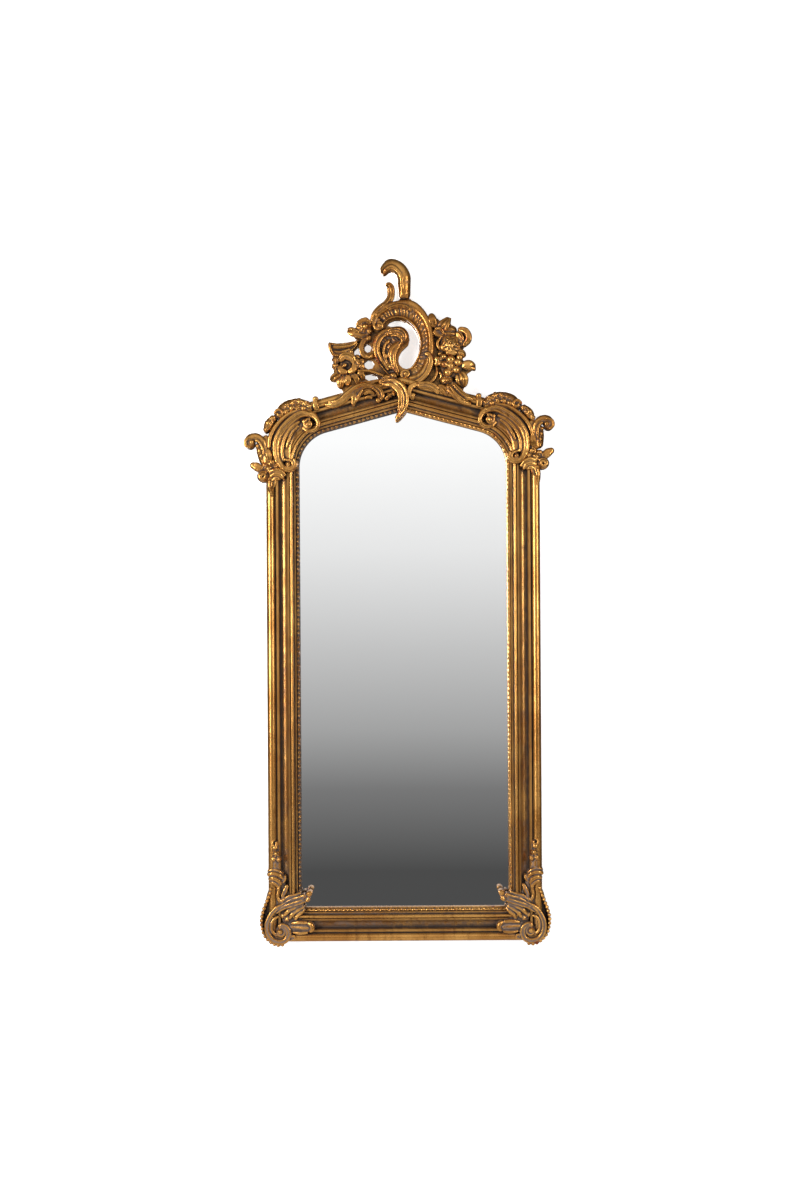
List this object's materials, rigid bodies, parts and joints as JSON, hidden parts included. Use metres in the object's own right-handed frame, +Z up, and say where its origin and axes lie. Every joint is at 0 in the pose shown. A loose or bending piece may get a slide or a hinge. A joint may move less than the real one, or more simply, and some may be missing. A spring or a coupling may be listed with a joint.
{
  "type": "pier mirror",
  "caption": "Tall arched wall mirror in a gilt moulded frame with carved scroll corners and a pierced crest, hung by two swinging D-rings on its back.",
  "frame": {"origin": "on the back face of the bottom rail, on the centre line, at the middle of the rail's height", "axes": "+Z up along the mirror's height, +X to the right seen from the front, +Y towards the wall, so the glass faces -Y"},
  "size_m": [0.7791, 0.0659, 1.7216],
  "materials": {
    "gilt_moulding": "antiqued gold leaf on wood, umber in the quirks, rubbed to the bole on the edges",
    "gilt_carving": "antiqued gold leaf on carved wood, grey-umber patina in the hollows",
    "gilt_slip": "antiqued gold leaf on a running leaf ornament",
    "crest_board": "umber-toned gilt edge, stained wood back",
    "mirror_glass": "silvered plate glass",
    "back_board": "brown hardboard, smooth face out",
    "zinc_hardware": "zinc plated steel",
    "brass_hardware": "brass plated, dulled",
    "rubber_pad": "soft black rubber"
  },
  "bodies": {
    "root": {"left_stile": "gilt_moulding", "right_stile": "gilt_moulding", "bottom_rail": "gilt_moulding", "left_top_rail": "gilt_moulding", "right_top_rail": "gilt_moulding", "left_slip": "gilt_slip", "right_slip": "gilt_slip", "bottom_slip": "gilt_slip", "left_top_slip": "gilt_slip", "right_top_slip": "gilt_slip", "mirror_plate": "mirror_glass", "backboard": "back_board", "backboard_screw_1": "zinc_hardware", "backboard_screw_2": "zinc_hardware", "backboard_screw_3": "zinc_hardware", "backboard_screw_4": "zinc_hardware", "crest_backing": "crest_board", "crest_plate": "zinc_hardware", "crest_screw_1": "zinc_hardware", "crest_screw_2": "zinc_hardware", "crest_screw_3": "zinc_hardware", "crest_screw_4": "zinc_hardware", "drop_leaf": "gilt_carving", "shell_leaf": "gilt_carving", "ring_scroll": "gilt_carving", "tall_plume": "gilt_carving", "left_scroll_leaf": "gilt_carving", "right_scroll_leaf": "gilt_carving", "right_rose": "gilt_carving", "right_berries": "gilt_carving", "right_leaves": "gilt_carving", "left_shell_bud": "gilt_carving", "left_trumpet": "gilt_carving", "left_flower": "gilt_carving", "left_corner_scroll": "gilt_carving", "left_corner_plume": "gilt_carving", "left_corner_rose": "gilt_carving", "left_leaf_pad": "gilt_carving", "left_drop_husk": "gilt_carving", "left_foot_scroll": "gilt_carving", "left_bead_string": "gilt_carving", "left_stile_husk": "gilt_carving", "right_corner_scroll": "gilt_carving", "right_corner_plume": "gilt_carving", "right_corner_rose": "gilt_carving", "right_leaf_pad": "gilt_carving", "right_drop_husk": "gilt_carving", "right_foot_scroll": "gilt_carving", "right_bead_string": "gilt_carving", "right_stile_husk": "gilt_carving", "left_hanger_strap": "brass_hardware", "left_bumper": "rubber_pad", "right_hanger_strap": "brass_hardware", "right_bumper": "rubber_pad", "hanger_screw_1": "brass_hardware", "hanger_screw_2": "brass_hardware", "hanger_screw_3": "brass_hardware", "hanger_screw_4": "brass_hardware"},
    "left_ring": {"left_hanger_ring": "brass_hardware"},
    "right_ring": {"right_hanger_ring": "brass_hardware"}
  },
  "joints": [
    {"name": "left_ring_swing", "type": "hinge", "parent": "root", "child": "left_ring", "pos_m": [-0.31225, 0.0041, 1.03725], "axis": [1, 0, 0], "range_deg": [0, 180]},
    {"name": "right_ring_swing", "type": "hinge", "parent": "root", "child": "right_ring", "pos_m": [0.31225, 0.0041, 1.03725], "axis": [1, 0, 0], "range_deg": [0, 180]}
  ]
}
